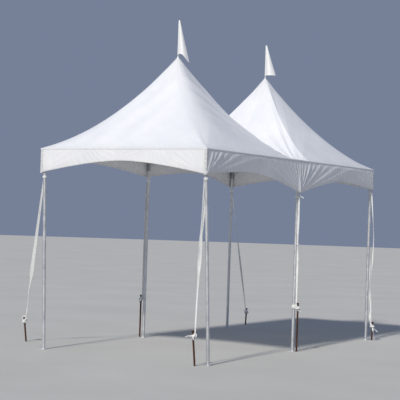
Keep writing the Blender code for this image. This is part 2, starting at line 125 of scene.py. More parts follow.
# Each leg: where its top stands on the plan, how far its foot is from there, its tubes' ways, and its
# stake: place from the leg's foot, height, and how far its top leans
LEGS = {
    "front_left": ((-BAY, 0.0), (0.09, -0.075), (X, Y), (-0.16, 0.09), 0.42, (-0.02, 0.03)),
    "front_middle": ((0.0, 0.0), (0.0, 0.0), (-X, X, Y), (0.0, -0.062), 0.66, (0.0, 0.0)),
    "front_right": ((BAY, 0.0), (0.0, 0.0), (-X, Y), (0.02, -0.09), 0.28, (0.0, -0.01)),
    "back_left": ((-BAY, BAY), (0.05, -0.055), (X, -Y), (0.60, 0.78), 0.33, (-0.02, 0.03)),
    "back_middle": ((0.0, BAY), (0.0, 0.0), (-X, X, -Y), (0.0, 0.062), 0.62, (0.0, 0.0)),
    "back_right": ((BAY, BAY), (0.0, 0.0), (-X, -Y), (0.88, 0.15), 0.28, (0.02, 0.0)),
}
TIP_DROP = {"front_middle": FRONT_TIP_DROP, "back_middle": BACK_TIP_DROP}
PEAKS = {"left": -HALF_BAY, "right": HALF_BAY}


# Arrays and meshes


def unit(vectors):
    """Vectors scaled to length one."""
    return vectors / maximum(norm(vectors, axis=-1, keepdims=True), 1e-12)


def smooth_step(value):
    """3v^2 - 2v^3 of the value held between 0 and 1."""
    held = clip(value, 0, 1)
    return held * held * (3 - 2 * held)


def run_length(points, axis):
    """Distance along a grid's lines, from their first point."""
    steps = norm(np.diff(points, axis=axis), axis=-1)
    return concatenate([np.zeros_like(np.take(steps, [0], axis)), np.cumsum(steps, axis)], axis)


def flat_map(points):
    """Metres along a grid's rows and metres down its columns."""
    return stack([run_length(points, 1), run_length(points, 0)], axis=-1)


def square_to(axis):
    """An axis as a unit vector, and two more at right angles to it and to each other."""
    axis = unit(axis)
    first = unit(cross(X if abs(axis[0]) < 0.8 else Y, axis))
    return axis, first, cross(axis, first)


def link(name, data):
    """A new object in the scene that shows the data."""
    made = bpy.data.objects.new(name, data)
    bpy.context.scene.collection.objects.link(made)
    return made


def make_piece(name, shells, finish, stands_for=(), closed=True, sharp=45, marks=None):
    """One mesh from grids of points, with doubles merged so that seams and poles close.

    Corner (i, j) of a grid makes a face with (i, j+1), (i+1, j+1) and (i+1, j). A finish is a material
    and its slot. marks are values from 0 to 1, one grid for each shell, that the material reads as the
    attribute wear.
    """
    faces = []
    first = 0
    for points, _ in shells:
        rows, columns = points.shape[:2]
        corners = first + np.arange(rows * columns).reshape(rows, columns)[:-1, :-1]
        faces.append(corners.reshape(-1, 1) + array([0, 1, columns + 1, columns]))
        first += rows * columns
    faces = concatenate(faces)
    places = concatenate([points.reshape(-1, 3) for points, _ in shells])
    maps = concatenate([flat.reshape(-1, 2) for _, flat in shells])
    mesh = bpy.data.meshes.new(name)
    mesh.from_pydata(places.tolist(), [], faces.tolist())
    mesh.uv_layers.new(name="UVMap").data.foreach_set("uv", maps[faces.ravel()].ravel())
    if marks is not None:
        values = concatenate([grid.ravel() for grid in marks])
        mesh.attributes.new("wear", "FLOAT", "POINT").data.foreach_set("value", values)
    shape = bmesh.new()
    shape.from_mesh(mesh)
    bmesh.ops.remove_doubles(shape, verts=shape.verts, dist=0.00002)
    if closed:
        bmesh.ops.recalc_face_normals(shape, faces=shape.faces)
    shape.to_mesh(mesh)
    shape.free()
    mesh.shade_smooth()
    mesh.set_sharp_from_angle(angle=math.radians(sharp))
    look, slot = finish
    mesh.materials.append(look)
    piece = link(name, mesh)
    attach(piece, "root")
    if stands_for:
        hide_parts(*stands_for)
    return piece


def carried(path, outline, side):
    """A closed outline carried along a path: point = path + a*side + b*(way x side), with its map.

    outline is (a, b) in metres at each row and column; side is a unit vector at each row, at right
    angles to the path. Both ends are closed by a row drawn in to the path.
    """
    way = unit(gradient(path, axis=0))
    side = unit(side - np.sum(side * way, axis=-1, keepdims=True) * way)
    across = cross(way, side)
    outline = broadcast_to(outline, (len(path), *outline.shape[-2:]))
    points = path[:, None] + outline[..., :1] * side[:, None] + outline[..., 1:] * across[:, None]
    ends = [np.repeat(path[k][None, None], points.shape[1], axis=1) for k in (0, -1)]
    points = concatenate([ends[0], points, ends[1]])
    return points, flat_map(points)


def side_of(path, guide):
    """Unit vectors at right angles to a path and to a guide direction."""
    return unit(cross(broadcast_to(guide, path.shape), unit(gradient(path, axis=0))))


def rounded(corners, cut, steps=4):
    """A line through corners with each inner corner cut back by up to cut and bent as a parabola."""
    corners = asarray(corners, float)
    before, here, after = corners[:-2], corners[1:-1], corners[2:]
    back = norm(before - here, axis=1, keepdims=True)
    ahead = norm(after - here, axis=1, keepdims=True)
    short = minimum(cut, 0.45 * minimum(back, ahead))
    start = here + (before - here) / back * short
    end = here + (after - here) / ahead * short
    t = linspace(0, 1, steps)[None, :, None]
    bends = (1 - t) ** 2 * start[:, None] + 2 * t * (1 - t) * here[:, None] + t**2 * end[:, None]
    return concatenate([corners[:1], bends.reshape(-1, corners.shape[1]), corners[-1:]])


def turned(profile, base, axis, sides):
    """A profile of (radius, height) turned round an axis through base, with its map."""
    axis, first, second = square_to(axis)
    angle = linspace(0, TURN, sides + 1)
    ring = cos(angle)[:, None] * first + sin(angle)[:, None] * second
    profile = asarray(profile, float)
    points = base + profile[:, 1, None, None] * axis + profile[:, 0, None, None] * ring
    height = broadcast_to(run_length(profile[:, None], 0), points.shape[:2])
    around = broadcast_to(angle * max(profile[:, 0].max(), 0.001), points.shape[:2])
    return points, stack([around, height], axis=-1)


def straight_tube(start, end, radius, sides):
    """A round tube from start to end with its ends closed and their edges slightly broken."""
    length = norm(end - start)
    levels = (0, 0.004, 0.02, length - 0.02, length - 0.004, length)
    profile = [(0, 0), *((radius, level) for level in levels), (0, length)]
    return turned(rounded(profile, 0.0008, 3), start, end - start, sides)


def plate(base, wide, deep, thick, cut):
    """A flat plate with rounded corners and broken edges.

    It is given by the centre of its underside, two half-side vectors, a thickness vector, and how far
    its corners are cut.
    """
    half_wide, half_deep, depth = norm(wide), norm(deep), norm(thick)
    square = [(0, -1), (1, -1), (1, 1), (-1, 1), (-1, -1), (0, -1)]
    outline = rounded([(half_wide * a, half_deep * b) for a, b in square], cut, 6)
    lengths = norm(outline, axis=1, keepdims=True)
    edge = min(0.0012, depth / 3)
    rows = []
    for inset, level in ((edge, 0), (0, edge), (0, depth - edge), (edge, depth)):
        row = outline * (1 - inset / lengths)
        rows.append(base + row[:, :1] * unit(wide) + row[:, 1:] * unit(deep) + level * unit(thick))
    low = broadcast_to(base, rows[0].shape)
    high = broadcast_to(base + unit(thick) * depth, rows[0].shape)
    points = stack([low, *rows, high])
    return points, flat_map(points)


def bolt(place, axis):
    """A hexagon head on a round washer: two turned profiles, the head with six sides."""
    r, h = BOLT_RADIUS, BOLT_HEIGHT
    washer = rounded([(0, -0.001), (r * 1.5, -0.001), (r * 1.5, 0.0015), (0, 0.0015)], 0.0006)
    head = rounded([(0, 0.001), (r, 0.001), (r, h), (0, h + 0.0008)], 0.0009)
    return [turned(washer, place, axis, 20), turned(head, place, axis, 6)]


def both_sides(grid):
    """A grid's values laid round a skin: down, back up and closed, with its end columns doubled."""
    ring = concatenate([grid, grid[::-1], grid[:1]])
    return concatenate([ring[:, :1], ring, ring[:, -1:]], axis=1)


def thick_cloth(points, half):
    """A closed skin round an open grid: the grid pushed out and in along its normals by half.

    A normal is the cross product of the grid's two gradients. The skin's rows run down the outer side
    and back up the inner one, and its end columns draw in to the middle surface.
    """
    normals = unit(cross(gradient(points, axis=1), gradient(points, axis=0)))
    offset = normals * asarray(half)[..., None]
    skin = both_sides(points)
    skin[:, 1:-1] = concatenate([points + offset, (points - offset)[::-1], (points + offset)[:1]])
    return skin, both_sides(flat_map(points))


def creases(a, b, tips):
    """Height in metres of ridges that run out from tips across (a, b).

    A tip is its place, its ridges' bearings in degrees, heights in mm and reaches in m, their width in m
    and how much it grows for each metre. A ridge is h (r/p) exp(1 - r/p) exp(0.6 - 1.6 sqrt((q/w)^2 + 0.14)),
    a crest with a tight bend: r along its bearing, q away from it, p half its reach, w its width at r.
    """
    total = np.zeros_like(a)
    for tip, bearings, heights, reaches, spread, grow in tips:
        for bearing, height, reach in zip(np.radians(bearings), array(heights) / 1000, reaches):
            r = (a - tip[0]) * math.cos(bearing) + (b - tip[1]) * math.sin(bearing)
            q = (b - tip[1]) * math.cos(bearing) - (a - tip[0]) * math.sin(bearing)
            ahead = maximum(r, 0) / (reach / 2)
            away = q / (spread + grow * maximum(r, 0))
            total += height * ahead * exp(1 - ahead) * exp(0.6 - 1.6 * np.sqrt(away**2 + 0.14))
    return total


# Finishes


def colour(code):
    """A linear colour from an sRGB hex value, or a grey from a plain number."""
    if not isinstance(code, str):
        return (code, code, code, 1.0)
    parts = [int(code[k : k + 2], 16) / 255 for k in (1, 3, 5)]
    return (*[c / 12.92 if c <= 0.04045 else ((c + 0.055) / 1.055) ** 2.4 for c in parts], 1.0)


def give(socket, value):
    """Gives a socket its link or its value."""
    if isinstance(value, bpy.types.NodeSocket):
        socket.id_data.links.new(value, socket)
    else:
        socket.default_value = value


def add_node(tree, kind, *values, stops=(), out=0, **named):
    """Adds a node and gives one of its outputs.

    values go to its first sockets; a name in small letters is a setting and any other a socket; stops
    are a ramp's places and colours.
    """
    made = tree.nodes.new("ShaderNode" + kind)
    for name, value in (*enumerate(values), *named.items()):
        if str(name).islower():
            setattr(made, name, value)
        else:
            give(made.inputs[name], value)
    if stops:
        elements = made.color_ramp.elements
        while len(elements) < len(stops):
            elements.new(0.5)
        for element, (place, shade) in zip(elements, stops):
            element.position = place
            element.color = colour(shade)
    return made.outputs[out]


def start_finish(name):
    """A new material, the function that adds its nodes, its places in space and on its flat map."""
    look = bpy.data.materials.new(name)
    look.use_nodes = True
    add = functools.partial(add_node, look.node_tree)
    return look, add, add("TexCoord", out="Object"), add("TexCoord", out="UV")


def end_finish(look, **inputs):
    """The material once its shader has its links and the values that are the same all over."""
    for name, value in inputs.items():
        give(look.node_tree.nodes["Principled BSDF"].inputs[name.replace("_", " ")], value)
    return look


def make_vinyl(name, dull, bright, grime):
    """PVC-coated polyester, knife-coated over a woven scrim and heat-welded.

    The eye sees an even, slightly glossy white, the scrim's grid showing through very faintly, and
    grey weather marks that gather at seams, folds and hems.
    """
    look, add, place, flat = start_finish(name)
    wear = add("Attribute", attribute_name="wear", out="Fac")
    cloud = add("TexNoise", place, Scale=2.2, Detail=5.0, Roughness=0.62)
    streaks = add("Mapping", place, Scale=(9.0, 9.0, 1.1))
    runs = add("TexNoise", streaks, Scale=1.7, Detail=6.0, Roughness=0.7)
    dirt = add("Math", runs, wear, operation="MULTIPLY")
    dirt = add("Math", dirt, 0.95, operation="MULTIPLY")
    mottle = add("ValToRGB", cloud, stops=[(0.3, dull), (0.7, bright)])
    mixed = add("MixRGB", dirt, mottle, colour(grime))
    # The scrim's threads are 1 mm apart; they are drawn 9 mm apart so that they show at all.
    threads = add("Mapping", flat, Scale=(111.0, 111.0, 111.0))
    weft, warp = (add("TexWave", threads, Scale=0.5, bands_direction=way, out="Fac") for way in "XY")
    scrim = add("Math", weft, warp, operation="ADD")
    ripple = add("TexNoise", place, Scale=14.0, Detail=3.0)
    fine = add("Bump", Height=scrim, Strength=0.05, Distance=0.0006)
    soft = add("Bump", Height=ripple, Strength=0.28, Distance=0.004, Normal=fine)
    gloss = add("ValToRGB", cloud, stops=[(0.3, 0.36), (0.75, 0.50)])
    return end_finish(look, Base_Color=mixed, Roughness=gloss, Normal=soft, IOR=1.53, Specular_IOR_Level=0.42)


def make_aluminium():
    """Extruded 6000-series aluminium tube, mill finish.

    The eye sees a bright satin grey with fine lines along the tube, dull oxide clouds and scuffs.
    """
    look, add, place, flat = start_finish("mill_aluminium_extruded")
    # Die lines are 0.2 mm apart and run the whole tube; drawn 2 mm apart.
    lines = add("Mapping", flat, Scale=(480.0, 5.0, 1.0))
    drawn = add("TexNoise", lines, Scale=1.0, Detail=4.0, Roughness=0.55)
    cloud = add("TexNoise", place, Scale=9.0, Detail=7.0, Roughness=0.68)
    base = add("ValToRGB", cloud, stops=[(0.3, "#c9cbcd"), (0.55, "#e0e1e2"), (0.72, "#ececec")])
    both = add("Math", drawn, cloud, operation="MULTIPLY")
    rough = add("ValToRGB", both, stops=[(0.15, 0.50), (0.42, 0.68)])
    bump = add("Bump", Height=drawn, Strength=0.18, Distance=0.0004)
    return end_finish(look, Base_Color=base, Roughness=rough, Normal=bump, Metallic=1.0)


def make_galvanised():
    """Hot-dip galvanised steel, welded and then dipped.

    The eye sees dull grey zinc crystals 8 to 15 mm across, each at its own brightness, and white bloom.
    """
    look, add, place, _ = start_finish("hot_dip_galvanised_steel")
    crystals = add("TexVoronoi", place, Scale=85.0, Randomness=1.0, out="Color")
    bloom = add("TexNoise", place, Scale=26.0, Detail=6.0, Roughness=0.7)
    shades = [(0.0, "#8f9497"), (0.5, "#a5aaac"), (1.0, "#bcc0c1")]
    base = add("ValToRGB", add("SeparateColor", crystals), stops=shades)
    whitened = add("ValToRGB", bloom, stops=[(0.52, 0.0), (0.75, 0.55)])
    mixed = add("MixRGB", whitened, base, colour("#c8c9c6"))
    rough = add("ValToRGB", bloom, stops=[(0.3, 0.38), (0.75, 0.72)])
    bump = add("Bump", Height=bloom, Strength=0.25, Distance=0.0006)
    return end_finish(look, Base_Color=mixed, Roughness=rough, Normal=bump, Metallic=1.0)


def make_webbing():
    """Woven polyester webbing, plain weave of flat yarns about 1.5 mm wide.

    The eye sees a matt off-white with rows of small ribs across the strap and ground-in dust; the grooves
    between the ribs are darkened by painted shade.
    """
    look, add, place, flat = start_finish("woven_polyester_webbing")
    # Yarns are 1.5 mm wide; the ribs are drawn 3 mm apart so that they show.
    yarns = add("Mapping", flat, Scale=(330.0, 330.0, 1.0))
    ribs = add("TexWave", yarns, Scale=0.32, Distortion=0.6, bands_direction="Y", out="Fac")
    cords = add("TexWave", yarns, Scale=0.32, bands_direction="X", out="Fac")
    weave = add("Math", ribs, cords, operation="MULTIPLY")
    dust = add("TexNoise", place, Scale=11.0, Detail=6.0, Roughness=0.65)
    base = add("ValToRGB", dust, stops=[(0.3, "#dddcd6"), (0.45, "#f4f4f1"), (0.7, "#fcfcfb")])
    # Painted shade: the weave's grooves are darkened to 0.86 of the base colour, where shade falls between
    # the ribs.
    painted_rib_shade = add("ValToRGB", weave, stops=[(0.0, 0.86), (0.6, 1.0)])
    mixed = add("MixRGB", 1.0, base, painted_rib_shade, blend_type="MULTIPLY")
    bump = add("Bump", Height=weave, Strength=0.6, Distance=0.0008)
    return end_finish(look, Base_Color=mixed, Normal=bump, Roughness=0.82, Sheen_Weight=0.25)


def make_rusty_steel():
    """Hot-rolled mild steel bar, rusted outdoors and hammered at its head.

    The eye sees dark brown scale with orange bloom and pits a few millimetres across.
    """
    look, add, place, _ = start_finish("rusted_hot_rolled_steel")
    scale = add("TexNoise", place, Scale=38.0, Detail=8.0, Roughness=0.68)
    pits = add("TexNoise", place, Scale=170.0, Detail=4.0, Roughness=0.6)
    shades = [(0.3, "#2b1d18"), (0.5, "#4a3026"), (0.62, "#6b4026"), (0.75, "#8a5a34")]
    base = add("ValToRGB", scale, stops=shades)
    rough = add("ValToRGB", scale, stops=[(0.3, 0.62), (0.7, 0.95)])
    bump = add("Bump", Height=add("Math", scale, pits, operation="ADD"), Strength=0.8, Distance=0.0012)
    return end_finish(look, Base_Color=base, Roughness=rough, Normal=bump, Metallic=0.25)


VINYL = (make_vinyl("pvc_coated_polyester_roof", "#eef0f4", "#f6f7fa", "#a6a59d"), "white_vinyl")
VALANCE_VINYL = (make_vinyl("pvc_coated_polyester_valance", "#ecedf0", "#f5f5f6", "#918e86"), "white_vinyl")
PENNANT_VINYL = (make_vinyl("pvc_coated_polyester_pennant", "#f1f1f0", "#f9f9f8", "#a9a69c"), "white_vinyl")
ALUMINIUM = (make_aluminium(), "mill_aluminium")
GALVANISED = (make_galvanised(), "galvanised_steel")
WEBBING = (make_webbing(), "white_webbing")
RUSTY_STEEL = (make_rusty_steel(), "rusty_steel")


# Roof


def clustered(count, pull):
    """count + 1 shares from 0 to 1 that lie closer together towards both ends."""
    share = linspace(0, 1, count + 1)
    return share - pull * sin(TURN * share) / TURN


def bay_edge(t):
    """Edge of the right bay at t from 0 to 4, about its footprint's middle: x, y, z, straight share.

    From the front inner corner: front, end, back, and the web's edge back to the start. On the web's
    edge, at v = |y| / half depth, x = neck + (half width - neck) v^1.5 and z = eave + rise (1 - v^2).
    """
    x = interp(t, [0, 1, 2, 3], [WEB_HALF_WIDTH, END_X, END_X, WEB_HALF_WIDTH])
    y = interp(t, [0, 1, 2, 3, 4], HALF_DEPTH * array([-1, -1, 1, 1, -1]))
    v = minimum(1, abs(y) / HALF_DEPTH)
    web = t > 3
    x = where(web, WEB_NECK + (WEB_HALF_WIDTH - WEB_NECK) * v**1.5, x)
    z = where(web, EAVE_HEIGHT + VALLEY_RISE * (1 - v**2), EAVE_HEIGHT)
    return x, y, z, where(web, 0.5 * abs(y) / HALF_DEPTH, 0.5)


# Creases of each bay's roof, drawn on the right bay, as creases() takes them
OUTER_TIPS = [
    ((END_X, -HALF_DEPTH), (112, 122, 132, 141, 150, 160), (2, -2, 3, -2, 3, -2),
     (0.7, 0.8, 0.9, 1, 0.8, 0.7), 0.014, 0.04),
    ((END_X, HALF_DEPTH), (-114, -124, -134, -146, -156), (2, -2, 3, -2, 2),
     (0.7, 0.8, 1, 0.8, 0.7), 0.014, 0.04),
]
ROOF_TIPS = {
    "left": [
        ((0.0, -HALF_DEPTH), (14, 18, 22, 26, 29.5, 33, 36.5, 40, 44, 49, 56, 64, 74, 84),
         (8, -8, 13, -10, 16, -12, 18, -12, 16, -10, 11, -8, 10, -6),
         (1.0, 1.2, 1.4, 1.6, 1.8, 1.9, 2.0, 1.9, 1.7, 1.5, 1.3, 1.2, 1.0, 0.9), 0.007, 0.020),
        ((0.0, HALF_DEPTH), (-24, -33, -40, -46, -53, -61, -70, -80), (2, -3, 4, -5, 5, -5, 4, -3),
         (1.1, 1.3, 1.4, 1.5, 1.4, 1.2, 1.0, 0.8), 0.010, 0.028),
        *OUTER_TIPS,
    ],
    "right": [
        ((0.0, -HALF_DEPTH), (24, 32, 38, 42.8, 46.4, 51, 56, 62, 69, 77, 86),
         (3, -3, 4, -8, 15, -6, 8, -7, 9, -7, 6),
         (1.0, 1.1, 1.3, 1.6, 1.7, 1.6, 1.5, 1.4, 1.2, 1.0, 0.9), 0.010, 0.027),
        ((0.0, HALF_DEPTH), (-28, -36, -43, -48, -56, -64, -74), (2, -3, 4, -4, 5, -4, 3),
         (1.0, 1.2, 1.4, 1.4, 1.3, 1.1, 0.9), 0.010, 0.028),
        *OUTER_TIPS,
    ],
}


def rounded_share(x, y, s):
    """The share out from the crown with the hips rounded off: s * (1 + k (1 - s^5) (F - 1)).

    F = ((1 + r^p) / 2^0.7)^(1/p), r being 1 on a hip and 0 midway between two, and p = 2.4 + 2.6 s. k falls
    towards the web, whose hips stay crisp.
    """
    reach = where(x > HALF_BAY, END_X - HALF_BAY, HALF_BAY - minimum(x, WEB_HALF_WIDTH))
    across = abs(x - HALF_BAY) / reach
    deep = abs(y) / HALF_DEPTH
    r = minimum(across, deep) / maximum(across, deep)
    power = 2.4 + 2.6 * s
    factor = ((1 + r**power) / 2**0.7) ** (1 / power)
    k = 0.3 + 0.7 * smooth_step((x - WEB_HALF_WIDTH) / (END_X - WEB_HALF_WIDTH))
    return s * (1 + k * (1 - s**5) * (factor - 1))


def roof_point(t, s, bay):
    """A bay's roof at t round its edge and s out from the crown (0) to the edge (1).

    z = edge + (peak - edge) * (k(1-s) + (1-k)(1-s)^2), with the rounded share for s and k the straight
    share, and creases and the crown's puckers on top. The left bay is the right one mirrored.
    """
    x, y, z, straight = bay_edge(t)
    angle = np.arctan2(y, x - HALF_BAY)
    hole_x = HALF_BAY + HOLE_RADIUS * cos(angle)
    hole_y = HOLE_RADIUS * sin(angle)
    out = rounded_share(x, y, s)
    rise = straight * (1 - out) + (1 - straight) * (1 - out) ** 2
    px = hole_x + (x - hole_x) * s
    py = hole_y + (y - hole_y) * s
    fans = creases(px, py, ROOF_TIPS[bay]) * smooth_step((1 - s) * 40) * smooth_step(s * 8)
    pucker = 0.0016 * sin(angle * 22 + 1.5 * sin(angle * 5))
    pucker = pucker * exp(-((s / 0.16) ** 2)) * smooth_step(s * 30)
    pz = z + (PEAK_HEIGHT - z) * rise + fans + pucker
    points = stack([px, py + HALF_BAY, pz], axis=-1)
    return points if bay == "right" else points[:, ::-1] * array([-1, 1, 1])


def roof_marks(grid):
    """Where grime gathers: near the eaves, the web and the crowns, from 0 to 1."""
    x, y = abs(grid[..., 0]), abs(grid[..., 1] - HALF_BAY)
    eave = exp(-minimum(HALF_DEPTH - y, END_X - x) / 0.05)
    web = exp(-((x / 0.2) ** 2)) * 0.55
    crown = exp(-((np.hypot(x - HALF_BAY, y) - HOLE_RADIUS) / 0.12))
    return clip(0.10 + 0.35 * eave + 0.35 * web + 0.4 * crown, 0, 1)


def build_roof():
    """Both bays and the web between them as one cloth, with a welt at each crown."""
    front, end, back, web_side = (clustered(count, 0.82) for count in (150, 56, 110, 150))
    t = concatenate([front[:-1], 1 + end[:-1], 2 + back[:-1], 3 + web_side])
    grid_s, grid_t = np.meshgrid(linspace(0, 1, 84) ** 1.1, t, indexing="ij")
    bays = []
    for name, centre in PEAKS.items():
        bay = roof_point(grid_t, grid_s, name)
        # The welt: a short collar that stands up round the hole
        collar = bay[:1].copy()
        middle = array([centre, HALF_BAY])
        collar[..., :2] = middle + (collar[..., :2] - middle) * (1 - 0.004 / HOLE_RADIUS)
        collar[..., 2] += COLLAR_HEIGHT
        bays.append(concatenate([collar, bay]))
    across = linspace(-1, 1, 17)
    slack = (1 - across**2)[:, None]
    web = stack([bays[1][-1, -len(web_side) :] * array([a, 1, 1]) for a in across])
    out = abs(web[0, :, 1] - HALF_BAY) / HALF_DEPTH
    near_eave = smooth_step(out * 2 - 0.9) * (1 - smooth_step((out - 0.96) * 25))
    ripple = 0.004 * cos(across * 2.5 * math.pi)[:, None] * slack
    web[..., 2] += ripple * near_eave - 0.012 * slack * clip(1 - out, 0, 1)
    shells = [(grid, flat_map(grid)) for grid in (*bays, web[:, ::-1])]
    marks = [roof_marks(grid) for grid, _ in shells]
    return make_piece("roof_cloth", shells, VINYL, ["canopy_top"], False, 60, marks)


def build_roof_tapes():
    """Welded seam tapes, 22 mm wide, down the outer hips, and the eave's edge turned down."""
    shells = []
    grid_s, grid_a = np.meshgrid(linspace(0.02, 0.985, 80), linspace(-1, 1, 7), indexing="ij")
    for bay in PEAKS:
        for corner in (1.0, 2.0):
            # The edge is about 2.5 m long for each unit of t
            points = roof_point(corner + grid_a * TAPE_HALF_WIDTH / (2.5 * grid_s), grid_s, bay)
            shells.append(thick_cloth(points + UP * 0.0006, 0.0004))
    shells.append(eave_edge())
    marks = [roof_marks(points) for points, _ in shells]
    return make_piece("roof_seam_tapes", shells, VINYL, sharp=30, marks=marks)


def eave_edge():
    """The roof's edge turned down over the valances: a closed outline carried round the eaves."""
    outline = [(-0.006, 0.0040), (0, 0.0009), (0.0022, -0.001), (0.0026, -0.011), (0.0019, -0.0135)]
    outline = [*outline, (0.0006, -0.011), (0.0004, -0.0012), (-0.006, 0.0026), outline[0]]
    outline = rounded(outline, 0.001, 3)
    side = clustered(60, 0.6)[:-1] * 2 - 1
    one = np.ones_like(side)
    x = END_X * concatenate([side, one, -side, -one, [-1]])
    y = HALF_DEPTH * concatenate([-one, side, one, -side, [-1]])
    out_x = where(abs(abs(x) - END_X) < 1e-6, np.sign(x), 0)
    out_y = where(abs(abs(y) - HALF_DEPTH) < 1e-6, np.sign(y), 0)
    stand = outline[:, :1] * (1 + 0.25 * sin(x * 31 + y * 17))
    height = EAVE_HEIGHT + outline[:, 1:] + 0 * x
    points = stack([x + out_x * stand, y + out_y * stand + HALF_BAY, height], axis=-1)
    return points, flat_map(points)


# Valances


def arch_drop(t, start, low, end, turning):
    """low + (start - low)((turning - t)/turning)^p before turning, and the same to end after it."""
    before = low + (start - low) * (maximum(turning - t, 0) / turning) ** ARCH_POWER
    after = (end - low) * (maximum(t - turning, 0) / (1 - turning)) ** ARCH_POWER
    return before + after


def long_drop(low, tip):
    """The drop of a long side as a function of x: an arch from each corner to the middle's tip."""
    return lambda x: arch_drop(1 - minimum(1, abs(x) / END_X), CORNER_DROP, low, tip, ARCH_TURN)


def end_drop(y):
    """The drop of an end at y from its middle: one even arch."""
    return arch_drop((y + HALF_DEPTH) / (2 * HALF_DEPTH), CORNER_DROP, END_DROP, CORNER_DROP, 0.5)


# Creases of each valance, as creases() takes them: tip along it and below the eave, bearings from its
# +way, 90 running straight up
FRONT_TIPS = [
    ((0.0, -FRONT_TIP_DROP), (14, 19.5, 26, 34, 43, 54, 67, 80, 102, 114, 125, 135, 144, 152, 160),
     (12, 15, 12, 17, 13, 18, 13, 12, 7, 8, 7, 8, 7, 8, 7),
     (1.7, 1.5, 1.1, 0.9, 0.7, 0.6, 0.5, 0.4, 0.4, 0.45, 0.5, 0.6, 0.7, 0.8, 0.9), 0.010, 0.042),
    ((-END_X, -CORNER_DROP), (12, 20, 29, 38, 49, 62), (7, 10, 9, 14, 10, 10),
     (1.0, 0.9, 0.8, 0.7, 0.55, 0.4), 0.008, 0.042),
    ((END_X, -CORNER_DROP), (162, 152, 142, 131, 119, 105), (6, 8, 7, 9, 8, 8),
     (0.9, 0.8, 0.7, 0.6, 0.5, 0.4), 0.007, 0.05),
]
BACK_TIPS = [
    ((0.0, -BACK_TIP_DROP), (22, 32, 43, 55, 70, 108, 124, 137, 149, 158), (4, 5, 6, 5, 4, 4, 5, 6, 5, 4),
     (0.5, 0.6, 0.5, 0.4, 0.3, 0.3, 0.4, 0.5, 0.6, 0.5), 0.008, 0.05),
    ((-END_X, -CORNER_DROP), (18, 30, 42, 56, 70), (4, 5, 5, 5, 4),
     (0.6, 0.6, 0.5, 0.4, 0.3), 0.008, 0.05),
    ((END_X, -CORNER_DROP), (162, 150, 138, 124, 110), (4, 5, 5, 5, 4),
     (0.6, 0.6, 0.5, 0.4, 0.3), 0.008, 0.05),
]
END_TIPS = [
    ((-HALF_DEPTH, -CORNER_DROP), (20, 31, 42, 55), (2.5, 2.8, 2.5, 2), (0.7, 0.7, 0.6, 0.4), 0.010, 0.05),
    ((HALF_DEPTH, -CORNER_DROP), (160, 149, 138, 125), (2.5, 2.8, 2.5, 2), (0.7, 0.7, 0.6, 0.4), 0.010, 0.05),
]


def fine_wrinkles(along, below, seed):
    """Crossing diagonal waves about 70 mm long and 1 mm high, whose lines wander, and which come and go."""
    wander = 3.4 * sin(5.1 * along - 11 * below + seed) + 1.9 * sin(13.3 * along + 7 * below)
    first = sin(66 * along + 48 * below + wander)
    wander = 3.1 * sin(4.3 * along + 13 * below + 2 * seed) + 1.7 * sin(-11.9 * along + 9 * below)
    second = sin(-53 * along + 71 * below + wander)
    here = smooth_step(0.5 + 0.7 * sin(3.7 * along + seed) * sin(8 * below + 1.9 * along + seed))
    there = smooth_step(0.4 + 0.7 * sin(2.9 * along + 3 * seed) * cos(10 * below - 2.3 * along))
    return 0.0010 * first * here + 0.0008 * second * there


def valance_relief(along, below, drop, half_length, tips, pleat, seed):
    """How far the cloth stands out: creases, fine wrinkles, a slow billow, puckered ends and a pleat.

    All of it fades in over the top 22% of the drop, where the cloth is held against the eave.
    """
    share = below / drop
    total = creases(along, -below, tips) + fine_wrinkles(along, below, seed)
    total += 0.004 * share * sin(along * 2.1 + seed) + 0.0022 * sin(along * 7.3 + 2 * seed) * share
    edge = exp(-(((half_length - abs(along)) / 0.028) ** 2))
    rough = sin(below * 170 + 3 * sin(below * 41 + seed)) + 0.6 * sin(below * 95 + along * 60 + seed)
    total += 0.0022 * edge * rough * smooth_step(share * 6) * smooth_step((1 - share) * 6)
    # A pleat over the middle leg: its left flank is broad and its right one steep
    width = where(along < -0.012, 0.014 + 0.026 * share, 0.009)
    total += pleat * (0.4 + 0.6 * share) * exp(-(((along + 0.012) / width) ** 2))
    return total * smooth_step(share * 4.5)


def valance_points(side, along, out, z):
    """Points on a side's valance at along from its middle, out from its face, and height z."""
    sign = -1 if side in ("front", "left") else 1
    if side in ("front", "back"):
        return stack([along, HALF_BAY + sign * (HALF_DEPTH - VALANCE_INSET + out), z], axis=-1)
    return stack([sign * (END_X - VALANCE_INSET + out), along + HALF_BAY, z], axis=-1)


def build_valance(side, half_length, drop_of, tips, pleat, steps, seed):
    """A hanging strip of cloth with an arched hem, 25 mm of it doubled, and creases from its tips."""
    along = half_length * linspace(-1, 1, steps + 1)
    drop = drop_of(along)
    rows = concatenate([linspace(0, 1, 27)[:-1] ** 0.9, [0.999]])
    hem_rows = array([0.02, 0.1, 0.35, 0.65, 0.92, 1.0])
    body = drop - HEM_WIDTH
    below = concatenate([rows[:, None] * body, body + HEM_WIDTH * hem_rows[:, None]])
    wide = broadcast_to(along, below.shape)
    out = valance_relief(wide, below, drop, half_length, tips, pleat, seed)
    half = full(below.shape, CLOTH_HALF)
    half[len(rows) + 1 :] = HEM_HALF
    half[-1] = 0.0010
    z = VALANCE_TOP - below * (VALANCE_TOP - EAVE_HEIGHT + drop) / drop
    shell = thick_cloth(valance_points(side, wide, out, z), half)
    levels = below / drop
    grime = 0.12 + 0.5 * exp(-((1 - levels) / 0.10)) + 0.35 * exp(-(half_length - abs(wide)) / 0.05)
    marks = [both_sides(clip(grime + 0.25 * exp(-levels / 0.05), 0, 1))]
    name = "valance_" + side
    piece = make_piece(name + "_cloth", [shell], VALANCE_VINYL, [name], True, 70, marks)


